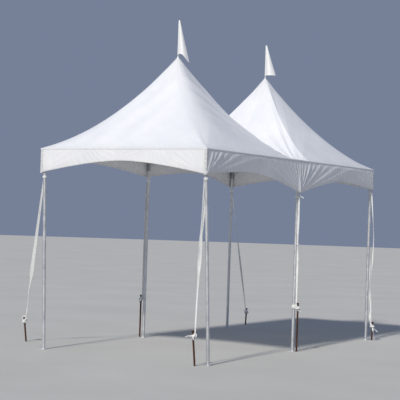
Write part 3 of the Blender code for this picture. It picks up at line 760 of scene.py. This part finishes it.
def build_valances(corner_seams):
    """The four valances."""
    front, back = long_drop(FRONT_DROP, FRONT_TIP_DROP), long_drop(BACK_DROP, BACK_TIP_DROP)
    build_valance("front", END_X, front, FRONT_TIPS, 0.019, 760, 0.7)
    build_valance("back", END_X, back, BACK_TIPS, 0.006, 560, 2.1)
    for side, seed in (("left", -3.3), ("right", 3.3)):
        half_length = HALF_DEPTH - VALANCE_INSET
        build_valance(side, half_length, end_drop, END_TIPS, 0.0, 360, seed)


def build_corner_seams():
    """The valances' ends seamed together at each corner: a strip folded round it, puckered by its thread.

    It stands off by 2.5 mm + 1.6 mm sin(150 z + 2 sin 47 z) + 0.9 mm sin(260 z + 90 l), l its width.
    """
    wide, off = 0.030, 0.0025
    z = linspace(VALANCE_TOP - 0.001, EAVE_HEIGHT - CORNER_DROP - 0.003, 90)[:, None]
    bend = rounded([(-wide, 0.0), (0.0, 0.0), (0.0, -wide)], 0.005, 6)
    places = run_length(bend, 0)
    even = linspace(0, places[-1], 33)
    line = stack([interp(even, places, bend[:, k]) for k in (0, 1)], axis=-1)
    turn = smooth_step((even - wide * 0.8) / (wide * 0.4))
    share = (VALANCE_TOP - z) / CORNER_DROP
    shells = []
    for number, (side, end) in enumerate(((-1, -1), (1, -1), (1, 1), (-1, 1))):
        thread = sin(150 * z + 2 * sin(47 * z + number)) + 0.55 * sin(260 * z + 90 * even + number)
        lift = off + 0.0016 * thread * smooth_step(share * 8)
        x = side * (END_X - 0.001 + line[:, 0] + lift * turn)
        y = HALF_BAY + end * (HALF_DEPTH - 0.001 + line[:, 1] + lift * (1 - turn))
        strip = stack([x, y, broadcast_to(z, x.shape)], axis=-1)
        shells.append(thick_cloth(strip if side * end < 0 else strip[:, ::-1], 0.0007))
    marks = [full(points.shape[:2], 0.75) for points, _ in shells]
    return make_piece("valance_corner_seams", shells, VALANCE_VINYL, sharp=60, marks=marks)


# Frame


def leg_line(leg):
    """A leg's top, on the level of the eave tubes' middle, and its foot."""
    (x, y), (dx, dy), *_ = LEGS[leg]
    return array([x, y, FRAME_HEIGHT]), array([x + dx, y + dy, FOOT_THICKNESS / 2])


def leg_at(leg, height):
    """The point of a leg's middle line at a height."""
    top, foot = leg_line(leg)
    return top + (foot - top) * ((top[2] - height) / (top[2] - foot[2]))


def inward_ways(leg):
    """For each bay that a leg stands in, the unit direction on the plan from the leg to its mast."""
    x, y = LEGS[leg][0]
    bays = {name: centre for name, centre in PEAKS.items() if abs(centre - x) < BAY}
    return {name: unit(array([centre - x, HALF_BAY - y, 0.0])) for name, centre in bays.items()}


def build_leg(leg):
    """An upright tube, and a foot plate welded to it with a bead round the tube."""
    top, foot = leg_line(leg)
    way = unit(foot - top)
    half, r = FOOT_SIZE / 2, TUBE_RADIUS
    base = foot * (1, 1, 0)
    bead = [(r - 0.002, 0), (r + 0.0065, 0), (r + 0.004, 0.0035)]
    bead += [(r + 0.001, 0.0065), (r - 0.002, 0.007), (r - 0.002, 0)]
    shells = [
        straight_tube(foot, top + way * SOCKET_STOP, r, 32),
        plate(base, X * half, Y * half, UP * FOOT_THICKNESS, 0.012),
        turned(rounded(bead, 0.0015), foot + UP * 0.003, -way, 32),
    ]
    make_piece("tube_leg_" + leg, shells, ALUMINIUM, ["leg_" + leg])


def build_fitting(leg):
    """Pipe sockets welded at a leg's top, each with two clamp bolts, and a drilled lug for each cable."""
    top, foot = leg_line(leg)
    bore = TUBE_RADIUS + 0.0005
    profile = [(0, -0.012), (SOCKET_RADIUS, -0.006), (SOCKET_RADIUS, SOCKET_REACH), (bore, SOCKET_REACH)]
    profile += [(bore, SOCKET_STOP + 0.02), (0, SOCKET_STOP + 0.02)]
    shells = []
    for way in (*LEGS[leg][2], unit(foot - top)):
        shells.append(turned(rounded(profile, 0.0015, 3), top, way, 32))
        down = -UP if abs(way[2]) < 0.5 else -X * np.sign(top[0] + 0.001)
        for reach in (0.065, 0.115):
            shells += bolt(top + way * reach + down * SOCKET_RADIUS, down)
    ball = [(0.027 * math.cos(a), 0.027 * math.sin(a)) for a in linspace(-1.3, 1.3, 9)]
    shells.append(turned([(0, -0.027), *ball, (0, 0.027)], top, UP, 24))
    for way in inward_ways(leg).values():
        across = cross(UP, way)
        centre = top + way * (LUG_REACH / 2 + 0.006) - across * 0.003
        shells.append(plate(centre, way * (LUG_REACH / 2 - 0.006), UP * 0.015, across * 0.006, 0.012))
    make_piece("socket_fitting_" + leg, shells, GALVANISED, ["fitting_" + leg])


def build_eave_tubes():
    """A straight tube between each two leg tops that are joined, from one socket's stop to the other's."""
    runs = {}
    for side in ("front", "back"):
        runs[f"eave_tube_{side}_left"] = (f"{side}_left", f"{side}_middle")
        runs[f"eave_tube_{side}_right"] = (f"{side}_middle", f"{side}_right")
    runs["eave_tube_left_end"] = ("front_left", "back_left")
    runs["eave_tube_right_end"] = ("front_right", "back_right")
    runs["cross_tube"] = ("front_middle", "back_middle")
    for node, (first, second) in runs.items():
        start, end = leg_line(first)[0], leg_line(second)[0]
        way = unit(end - start) * SOCKET_STOP
        tube = straight_tube(start + way, end - way, TUBE_RADIUS, 32)
        make_piece("drawn_" + node, [tube], ALUMINIUM, [node])


def build_mast(name, centre):
    """Turned profiles: hub, tube, crown under the cloth, neck and flag pole, and a ferrule on the pole."""
    slope = (PEAK_HEIGHT - EAVE_HEIGHT) * 2 / (HALF_BAY - HOLE_RADIUS - WEB_NECK)
    under = PEAK_HEIGHT - 0.005
    skirt = under - slope * (CROWN_RADIUS - HOLE_RADIUS)
    hub = [(0, HUB_TOP - HUB_HEIGHT), (HUB_RADIUS, HUB_TOP - HUB_HEIGHT), (HUB_RADIUS, HUB_TOP)]
    tube = [(MAST_RADIUS, HUB_TOP), (MAST_RADIUS, skirt - 0.012)]
    crown = [(CROWN_RADIUS, skirt - 0.012), (CROWN_RADIUS, skirt)]
    neck = [(CROWN_NECK, under + slope * (HOLE_RADIUS - CROWN_NECK)), (CROWN_NECK, PEAK_HEIGHT + CROWN_NECK)]
    pole = [(POLE_RADIUS, PEAK_HEIGHT + 2 * CROWN_NECK), (POLE_RADIUS, POLE_TOP), (0, POLE_TOP)]
    ferrule = [(0, 0), (0.0115, 0), (0.0115, 0.012), (0, 0.012)]
    shells = [
        turned(rounded([*hub, *tube, *crown, *neck, *pole], 0.003), (centre, HALF_BAY, 0), UP, 40),
        turned(rounded(ferrule, 0.002), (centre, HALF_BAY, FERRULE_HEIGHT), UP, 28),
    ]
    make_piece("turned_mast_" + name, shells, ALUMINIUM, ["mast_" + name])


def build_cable(leg, way, centre, node):
    """A wire rope of six strands laid round a core, with a pressed sleeve and a jaw at each end.

    Its outline is r = R(0.84 + 0.16|cos 3(a - twist)|), turning once in 60 mm.
    """
    start = leg_line(leg)[0] + way * (LUG_REACH + 0.0006)
    end = array([centre, HALF_BAY, HUB_TOP - HUB_HEIGHT / 2]) - way * (HUB_RADIUS + 0.0006)
    length = norm(end - start)
    share = linspace(0, 1, int(length / 0.0065))[:, None]
    path = start + (end - start) * share
    angle = linspace(0, TURN, 25)[None, :]
    twist = TURN * share * length / ROPE_LAY
    radius = CABLE_RADIUS * (0.84 + 0.16 * abs(cos(3 * (angle - twist))))
    outline = stack([radius * cos(angle), radius * sin(angle)], axis=-1)
    shells = [carried(path, outline, side_of(path, UP))]
    along = unit(end - start)
    across = cross(UP, way)
    sleeve = [(0, 0.016), (0.0062, 0.016), (0.0068, 0.03), (0.0062, 0.062), (0.0045, 0.068), (0, 0.068)]
    block = [(0, -0.001), (0.0105, -0.001), (0.0115, 0.010), (0.0085, 0.018), (0, 0.018)]
    for base, axis in ((start, along), (end, -along)):
        shells.append(turned(rounded(sleeve, 0.002), base, axis, 20))
        shells.append(turned(rounded(block, 0.003), base + axis * 0.001, axis, 20))
    for reach in (-0.006, 0.006):
        cheek = start - way * 0.010 + across * reach - across * 0.0015
        shells.append(plate(cheek, way * 0.017, UP * 0.0095, across * 0.003, 0.008))
    pin = start - way * 0.014 - across * 0.012
    shells.append(straight_tube(pin, pin + across * 0.024, 0.0042, 16))
    make_piece("wire_rope_" + node, shells, GALVANISED, [node], sharp=50)


# Pennants


def build_pennant(name, centre):
    """A stiff vinyl triangle rolled into part of a cone, hemmed, on a sleeve round the flag pole.

    At share h down, the arc's radius is width*h/curl, and its free end lies at the heading.
    """
    across = array([math.cos(PENNANT_HEADING), math.sin(PENNANT_HEADING), 0])
    bulge = array([across[1], -across[0], 0])
    top, bottom = POLE_TOP - 0.002, PEAK_HEIGHT + 2 * CROWN_NECK + 0.015
    share = concatenate([linspace(0, 0.965, 60), linspace(0.968, 1, 5)])[:, None]
    turn = concatenate([linspace(0, 0.94, 34), linspace(0.945, 1, 5)])[None, :]
    angle = PENNANT_CURL * turn
    flat_radius = (0.012 + (PENNANT_WIDTH - 0.012) * share) / PENNANT_CURL
    radius = flat_radius + 0.0022 * sin(turn * 9 + share * 5) * share * turn
    low = bottom + 0.004 - PENNANT_SAG[name] * smooth_step((turn - 0.35) / 0.65)
    height = (top - 0.004) * (1 - share) + low * share
    plan = bulge * (POLE_RADIUS + 0.0013 + radius * sin(angle))[..., None]
    plan = plan + across * (flat_radius - radius * cos(angle))[..., None]
    points = plan + (centre, HALF_BAY, 0) + UP * height[..., None]
    hem = (share > 0.966) | (turn > 0.943)
    cloth = thick_cloth(points, where(hem, 0.0013, CLOTH_HALF))
    inner, outer = POLE_RADIUS + 0.0003, POLE_RADIUS + 0.0023
    profile = [(inner, bottom), (outer, bottom), (outer, top), (inner, top), (inner, bottom)]
    sleeve = turned(profile, (centre, HALF_BAY, 0), UP, 28)
    marks = [full(cloth[0].shape[:2], 0.15), full(sleeve[0].shape[:2], 0.3)]
    name_of_piece = "pennant_cloth_" + name
    piece = make_piece(name_of_piece, [cloth, sleeve], PENNANT_VINYL, ["pennant_" + name], True, 60, marks)


# Straps and stakes


def stake_line(leg):
    """A stake's foot on the ground and its top."""
    *_, (dx, dy), height, (lean_x, lean_y) = LEGS[leg]
    foot = leg_line(leg)[1]
    base = foot * (1, 1, 0) + (dx, dy, 0)
    return base, base + (lean_x, lean_y, height)


def band_outline(width, thickness, turn, cup, columns=20):
    """Outline of a flat strap at each row: a rounded strip, cupped and turned about the path.

    a = w/2 cos(p)^0.6, b = t/2 sin(p) + cup*w*(cos(p)^2 - 1/2), then turned by the row's angle.
    """
    p = linspace(0, TURN, columns + 1)[None, :]
    values = (width, thickness, turn, cup)
    width, thickness, turn, cup = (asarray(v, float).reshape(-1, 1) for v in values)
    a = width / 2 * np.sign(cos(p)) * abs(cos(p)) ** 0.6
    b = thickness / 2 * sin(p) + cup * width * (cos(p) ** 2 - 0.5)
    return stack([a * cos(turn) - b * sin(turn), a * sin(turn) + b * cos(turn)], axis=-1)


def strap_knot(centre, radius, axis, width, thickness, lean):
    """A trefoil knot of strap on a torus: ((2 + cos 3f) cos 2f, (2 + cos 3f) sin 2f, 1.5 sin 3f) / 3."""
    f = linspace(0, TURN, 120)
    wide = 2 + cos(3 * f)
    path = stack([wide * cos(2 * f), wide * sin(2 * f), 1.5 * sin(3 * f)], -1)
    middle = stack([2 * cos(2 * f), 2 * sin(2 * f), np.zeros_like(f)], -1)
    axis = unit(axis)
    first = unit(cross((0.6, 0.8, 0.1), axis))
    rows = stack([first, cross(axis, first), axis])
    side = unit(path - middle) @ rows
    path = centre + path / 3 * radius @ rows
    wobble = width * (1 + 0.18 * sin(5 * f + lean))
    # The strap's flat side lies against the torus, so its width runs across the side vector
    return carried(path, band_outline(wobble, thickness, math.pi / 2, 0.06 * cos(4 * f), 16), side)


def smooth_path(points, rows):
    """Catmull-Rom through the points: 0.5((2b) + (c-a)u + (2a-5b+4c-d)u^2 + (3b-a-3c+d)u^3)."""
    padded = concatenate([2 * points[:1] - points[1:2], points, 2 * points[-1:] - points[-2:-1]])
    place = linspace(0, len(points) - 1, rows)
    k = minimum(place.astype(int), len(points) - 2)
    u = (place - k)[:, None]
    a, b, c, d = padded[k], padded[k + 1], padded[k + 2], padded[k + 3]
    return 0.5 * (2 * b + (c - a) * u + (2 * a - 5 * b + 4 * c - d) * u**2 + (3 * b - a - 3 * c + d) * u**3)


def wound(centre, axis, radius, rise, width, thickness, start_angle):
    """A strap wound 2.2 times round a bar: a helix whose flat side lies on the bar."""
    turns = 2.2
    axis, first, second = square_to(axis)
    share = linspace(0, 1, 90)[:, None]
    angle = start_angle + TURN * turns * share
    out = cos(angle) * first + sin(angle) * second
    grow = radius + thickness * turns * share * 0.6
    path = centre + out * grow + axis * (rise * (share - 0.5))
    return carried(path, band_outline(width, thickness, math.pi / 2, 0.0, 16), out)


# Each strap's bands: rows of share of the way down, how far it stands aside and back towards the leg,
# width and thickness (mm from the second on), then the half turns that it starts with and that it makes
STRAP_BANDS = {
    "front_left": [
        ([(0.0, 0, 0, 20, 3), (0.15, -3, 0, 22, 2.5), (0.32, -2, 0, 26, 4), (0.42, 0, 0, 44, 6),
          (0.52, 0, 0, 46, 7), (0.6, 0, 0, 30, 8), (0.7, 3, 0, 20, 7), (0.85, 4, 0, 18, 6),
          (1.0, 0, 0, 16, 6)], 0.4, 0.35),
        ([(-0.01, 8, 10, 20, 3), (0.08, 6, 27, 22, 2.5), (0.2, 4, 27, 22, 3), (0.32, 1, 14, 22, 4),
          (0.4, 0, 2, 18, 3)], 0.45, 0.1),
    ],
    "front_middle": [
        ([(0.0, 0, 0, 26, 3), (0.2, 3, 0, 32, 2.5), (0.43, 0, 0, 14, 9), (0.6, -3, 0, 28, 3),
          (1.0, 0, 0, 20, 6)], 0.3, 0.25),
    ],
    "front_right": [
        ([(0.0, 0, 0, 18, 3), (0.15, 3, -18, 16, 4), (0.32, 6, -36, 15, 5), (0.5, 0, -20, 16, 4),
          (0.66, -6, 4, 16, 5), (0.85, 5, 3, 20, 4), (1.0, 0, 0, 16, 6)], 0.3, 2.5),
        ([(0.5, 0, 5, 10, 4), (0.6, 24, 16, 12, 3), (0.7, -10, 30, 12, 3), (0.79, 26, 20, 13, 3),
          (0.87, -8, 26, 14, 3), (0.94, 22, 14, 16, 4), (1.0, 4, 4, 16, 5)], 0.0, 3.0),
    ],
    "back_left": [
        ([(0.0, 0, 0, 18, 3), (0.15, 0, 0, 26, 2.5), (0.4, 0, 0, 38, 2.5), (0.58, 0, 0, 48, 4),
          (0.66, 0, 0, 50, 8), (0.7, 3, 0, 24, 9), (0.78, -5, 0, 13, 8), (0.88, 5, 0, 14, 7),
          (1.0, 0, 0, 16, 7)], 0.1, 0.3),
    ],
    "back_middle": [
        ([(0.0, 0, 0, 30, 3), (0.3, -2, 0, 36, 2.5), (0.7, 2, 0, 32, 3), (1.0, 0, 0, 20, 6)], 0.1, 0.2),
    ],
    "back_right": [
        ([(0.0, 0, 0, 22, 3), (0.3, 0, 0, 34, 2.5), (0.7, 0, 0, 28, 4), (1.0, 0, 0, 18, 6)], 0.0, 1.3),
    ],
}
# Loose ends at each knot: the way that each hangs and its length
STRAP_TAILS = {
    "front_left": (((-0.75, 0.5, -0.1), 0.115), ((-0.5, -0.5, -0.6), 0.06), ((0.4, -0.2, -0.8), 0.05)),
    "front_middle": (((0.2, -0.5, -0.7), 0.07), ((-0.4, -0.3, -0.8), 0.055)),
    "front_right": (((0.3, -0.6, -0.7), 0.12), ((-0.2, -0.3, -0.93), 0.19), ((0.45, 0.1, -0.9), 0.17)),
    "back_left": (((0.4, 0.3, -0.8), 0.05),),
    "back_middle": (((0.2, 0.5, -0.7), 0.06), ((-0.4, 0.3, -0.8), 0.05)),
    "back_right": (((0.5, 0.3, -0.7), 0.06), ((0.2, -0.4, -0.8), 0.05)),
}


def strap_band(start, stop, guide, back, rows_of_band, first_turn, half_turns):
    """One band from start to stop: a smooth curve through its rows, its outline turning evenly."""
    rows = smooth_path(array(rows_of_band, float), 110)
    share, aside, slack, width, thickness = rows.T
    aside = guide * aside[:, None] / 1000
    path = start + (stop - start) * share[:, None] + aside + back * slack[:, None] / 1000
    even = linspace(0, 1, len(rows))
    turn = math.pi * (first_turn + half_turns * even) + 0.12 * sin(even * 25)
    cup = 0.04 + 0.10 * smooth_step((thickness - 3) / 4)
    return carried(path, band_outline(width / 1000, thickness / 1000, turn, cup), side_of(path, back))


def strap_tail(knot, way, length, out):
    """A loose end that leaves the knot, bends aside and hangs, its outline set at three stations."""
    way = array(way)
    aside = unit(cross(way, out) + 0.01)
    bend = knot + way * length * 0.45 + aside * length * 0.16
    path = smooth_path(array([knot, bend, knot + way * length]), 24)
    stations = ((0.014, 0.02, 0.019), (0.005, 0.0028, 0.0022), (0.2, 0.9, 1.5))
    width, thickness, turn = (interp(linspace(0, 1, 24), (0, 0.5, 1), values) for values in stations)
    return carried(path, band_outline(width, thickness, turn, 0.1), side_of(path, (0.31, 0.17, 0.93)))


def build_strap(leg):
    """Webbing hitched round the leg under the valance, drawn down to its stake and tied, its ends loose."""
    top = EAVE_HEIGHT - TIP_DROP.get(leg, CORNER_DROP) - LOOP_DROP
    leg_top, leg_foot = leg_line(leg)
    leg_way = unit(leg_foot - leg_top)
    loop = (leg_at(leg, top) + leg_at(leg, top - STRAP_WIDTH)) / 2
    base, head = stake_line(leg)
    lean = (head - base) / head[2]
    knot = base + lean * (head[2] - KNOT_DROP)
    out = unit(knot - leg_at(leg, knot[2]))
    start = loop + out * (TUBE_RADIUS + 0.004)
    stop = knot - out * (STAKE_RADIUS + 0.012)
    guide = unit(cross(stop - start, out))
    shells = [
        wound(loop, leg_way, TUBE_RADIUS + 0.0018, 0.026, 0.017, 0.003, 0.6),
        strap_knot(start, 0.012, out, 0.009, 0.004, 1.0),
        *(strap_band(start, stop, guide, -out, *band) for band in STRAP_BANDS[leg]),
        wound(knot, lean, STAKE_RADIUS + 0.0022, 0.03, 0.022, 0.0035, 1.1),
        strap_knot(knot - out * 0.006, 0.036, lean + out * 0.6, 0.022, 0.010, 2.0),
        strap_knot(knot + UP * 0.020 - out * 0.018, 0.024, out, 0.016, 0.007, 0.3),
        *(strap_tail(knot, way, length, out) for way, length in STRAP_TAILS[leg]),
    ]
    if leg == "front_middle":
        shells.append(strap_knot(start + (stop - start) * 0.43, 0.016, leg_way, 0.012, 0.005, 0.7))
        shells.append(strap_tail(start + UP * 0.040, (0.45, -0.6, -0.66), 0.085, out))
        # The end goes round the leg too, close beside the stake
        beside = leg_at(leg, knot[2] + 0.012)
        shells.append(wound(beside, leg_way, TUBE_RADIUS + 0.0022, 0.038, 0.026, 0.0036, 2.6))
    if leg == "back_left":
        # The end is thrown over the stake's head as an open loop
        rim = linspace(0, TURN, 60)[:, None]
        facing = unit(array([-0.85, -0.52, 0.25]))
        across = unit(cross(UP, facing))
        centre = head - UP * 0.012
        ring = centre + 0.027 * (cos(rim) * across + sin(rim) * cross(facing, across))
        outline = band_outline(0.019, 0.010, linspace(0, math.pi, 60), 0.05, 16)
        shells.append(carried(ring, outline, unit(ring - centre)))
    make_piece("webbing_strap_" + leg, shells, WEBBING, ["strap_" + leg], sharp=60)


def build_stake(leg):
    """A round bar, slightly pitted, its head hammered out over the neck.

    Each row's radius is multiplied by 1 + 0.03 sin(5a + 70h) + 0.02 sin(3a - 110h), with 2.2 times as
    much of it at the head.
    """
    base, head = stake_line(leg)
    height = head[2]
    neck = height - STAKE_HEAD_HEIGHT
    bar = [(STAKE_RADIUS * 0.96, z) for z in linspace(0, neck - 0.012, 40)]
    shoulders = ((0.86, neck - 0.001), (0.96, neck + 0.003), (0.9, neck + 0.008), (0.6, height - 0.001))
    burr = [(STAKE_HEAD_RADIUS * share, level) for share, level in shoulders]
    profile = [(0, 0), *bar, (STAKE_RADIUS, neck - 0.006), *burr, (0, height)]
    points, flat = turned(profile, (0, 0, 0), UP, 28)
    angle = linspace(0, TURN, points.shape[1])[None, :]
    level = points[..., 2]
    rough = 0.03 * sin(5 * angle + 70 * level) + 0.02 * sin(3 * angle - 110 * level)
    points[..., :2] *= (1 + rough * where(level > neck - 0.01, 2.2, 1.0))[..., None]
    points = points + base + (head - base) / height * level[..., None] - UP * level[..., None]
    make_piece("rusty_stake_" + leg, [(points, flat)], RUSTY_STEEL, ["stake_" + leg], sharp=50)


def build_all():
    """Every piece of the tent."""
    roof = build_roof()
    tapes = build_roof_tapes()
    build_valances(build_corner_seams())
    for leg in LEGS:
        build_leg(leg)
        build_fitting(leg)
        build_stake(leg)
        build_strap(leg)
        for name, way in inward_ways(leg).items():
            build_cable(leg, way, PEAKS[name], f"cable_{name}_to_{leg}")
    build_eave_tubes()
    for name, centre in PEAKS.items():
        build_mast(name, centre)
        build_pennant(name, centre)


# Floor, light and camera


def build_stage():
    """A plain pale floor, a warm sun from the left and a pale blue sky of even light."""
    look, add, place, _ = start_finish("painted_studio_floor")
    cloud = add("TexNoise", place, Scale=0.6, Detail=3.0)
    shade = add("ValToRGB", cloud, stops=[(0.3, "#c3c2bd"), (0.7, "#cac9c5")])
    mesh = bpy.data.meshes.new("studio_floor")
    angles = linspace(0, TURN, 97)[:-1]
    rim = [(FLOOR_RADIUS * math.cos(a), FLOOR_RADIUS * math.sin(a) + HALF_BAY, 0.0) for a in angles]
    mesh.from_pydata(rim, [], [tuple(range(len(rim)))])
    mesh.materials.append(end_finish(look, Base_Color=shade, Roughness=0.9, Specular_IOR_Level=0.2))
    link("studio_floor", mesh)

    world = bpy.data.worlds.new("pale_sky")
    world.use_nodes = True
    sky = world.node_tree.nodes["Background"]
    give(sky.inputs["Color"], colour("#bccdf0"))
    give(sky.inputs["Strength"], 0.36)
    bpy.context.scene.world = world

    lamp = bpy.data.lights.new("key_light", "SUN")
    lamp.energy = 2.85
    lamp.angle = math.radians(5)
    lamp.color = (1.0, 0.965, 0.91)
    sun_way = Vector((-0.77, -0.06, 0.63))
    link("key_light", lamp).rotation_euler = sun_way.to_track_quat("Z", "Y").to_euler()


def build_camera():
    """The photograph's viewpoint: low, off the left front corner, and rolled by 2 degrees."""
    ahead = Vector(CAMERA_AHEAD).normalized()
    level = Vector(CAMERA_RIGHT).normalized()
    above = level.cross(ahead)
    right = level * math.cos(CAMERA_ROLL) + above * math.sin(CAMERA_ROLL)
    up = above * math.cos(CAMERA_ROLL) - level * math.sin(CAMERA_ROLL)
    data = bpy.data.cameras.new("camera")
    data.sensor_width = SENSOR_WIDTH
    data.lens = SENSOR_WIDTH * FOCAL_PIXELS / PICTURE_WIDTH
    data.clip_start = 0.1
    data.clip_end = 500
    camera = link("camera", data)
    camera.matrix_world = Matrix.Translation(CAMERA_PLACE) @ Matrix((right, up, -ahead)).transposed().to_4x4()
    bpy.context.scene.camera = camera


build_camera()
build_all()
build_stage()
bpy.context.scene.view_settings.view_transform = "Standard"
